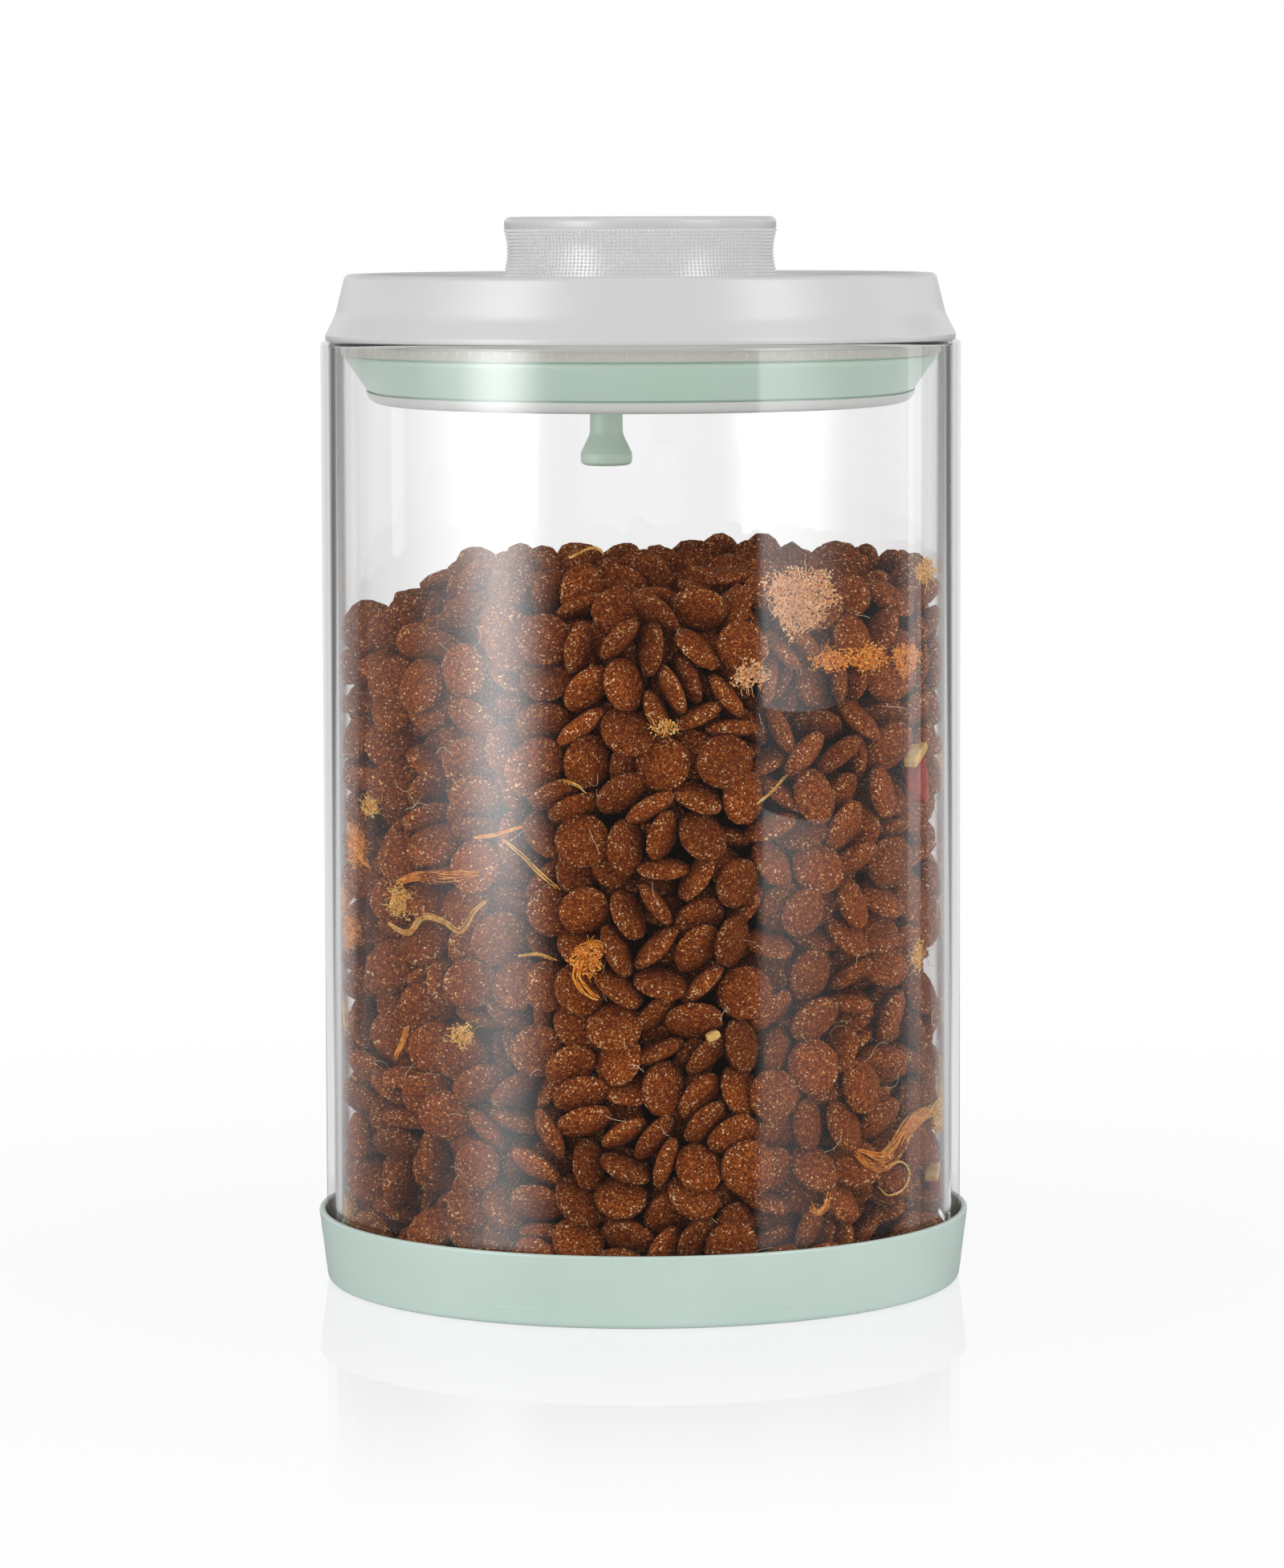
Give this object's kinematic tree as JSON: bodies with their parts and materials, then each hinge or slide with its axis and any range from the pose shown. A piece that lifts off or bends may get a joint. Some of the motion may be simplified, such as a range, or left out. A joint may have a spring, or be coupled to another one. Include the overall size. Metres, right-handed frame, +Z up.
{
  "type": "pet food storage jar",
  "caption": "Clear glass canister for dry pet food on a soft tray, with a push-button lid that spreads a soft cone seal.",
  "frame": {"origin": "centre of the tray's flat underside, on the surface that the jar stands on", "axes": "+Z up the jar's axis; the picture's view is from -Y, with +X to its right"},
  "size_m": [0.123, 0.123, 0.2003],
  "materials": {
    "tray_silicone": "satin silicone",
    "jar_glass": "clear borosilicate",
    "lid_plastic": "satin moulded",
    "core_plastic": "moulded",
    "seal_silicone": "satin silicone",
    "plate_plastic": "satin moulded",
    "lever_plastic": "moulded acetal",
    "kibble": "dry baked pellets",
    "steel": "bright drawn"
  },
  "bodies": {
    "base": {"base_tray": "tray_silicone"},
    "jar": {"glass_jar": "jar_glass", "kibble_heap": "kibble"},
    "lid": {"lid_cover": "lid_plastic", "lid_core": "core_plastic", "core_screws": "steel", "lever_pin_1": "steel", "lever_pin_2": "steel", "lever_pin_3": "steel", "seal_ring": "seal_silicone", "return_spring": "steel"},
    "button": {"button_cap": "lid_plastic", "push_sleeve": "lever_plastic", "button_screw": "steel"},
    "plate": {"pressure_plate": "plate_plastic", "pull_plug": "seal_silicone", "lift_staple_1": "steel", "lift_staple_2": "steel", "lift_staple_3": "steel"},
    "lever_1": {"lever_1": "lever_plastic"},
    "lever_2": {"lever_2": "lever_plastic"},
    "lever_3": {"lever_3": "lever_plastic"},
    "latch": {"latch_follower": "steel"}
  },
  "joints": [
    {"name": "jar_lift", "type": "slide", "parent": "base", "child": "jar", "axis": [0, 0, 1], "range_m": [0, 0.03]},
    {"name": "lid_lift", "type": "slide", "parent": "jar", "child": "lid", "axis": [0, 0, 1], "range_m": [0, 0.06]},
    {"name": "button_press", "type": "slide", "parent": "lid", "child": "button", "axis": [0, 0, -1], "range_m": [0, 0.01], "stiffness_N_per_m": 300, "springref_m": -0.01, "deforming": ["return_spring"]},
    {"name": "plate_rise", "type": "slide", "parent": "lid", "child": "plate", "axis": [0, 0, 1], "range_m": [0, 0.00334], "deforming": ["seal_ring"]},
    {"name": "lever_1_rock", "type": "hinge", "parent": "lid", "child": "lever_1", "pos_m": [0.0415, 0, 0.1763], "axis": [0, -1, 0], "range_deg": [0, 31.56]},
    {"name": "lever_2_rock", "type": "hinge", "parent": "lid", "child": "lever_2", "pos_m": [-0.02075, 0.03594, 0.1763], "axis": [0.866, 0.5, 0], "range_deg": [0, 31.56]},
    {"name": "lever_3_rock", "type": "hinge", "parent": "lid", "child": "lever_3", "pos_m": [-0.02075, -0.03594, 0.1763], "axis": [-0.866, 0.5, 0], "range_deg": [0, 31.56]},
    {"name": "latch_swing", "type": "hinge", "parent": "lid", "child": "latch", "pos_m": [0.007, 0, 0.17415], "axis": [-1, 0, 0], "range_deg": [0, 13.52]}
  ],
  "couplings": [
    {"joint": "plate_rise", "follows": "button_press", "ratio": 0.33333},
    {"joint": "lever_1_rock", "follows": "button_press", "rad_per_m": 55.062},
    {"joint": "lever_2_rock", "follows": "button_press", "rad_per_m": 55.062},
    {"joint": "lever_3_rock", "follows": "button_press", "rad_per_m": 55.062},
    {"joint": "latch_swing", "follows": "button_press", "rad_per_m": 23.584}
  ]
}
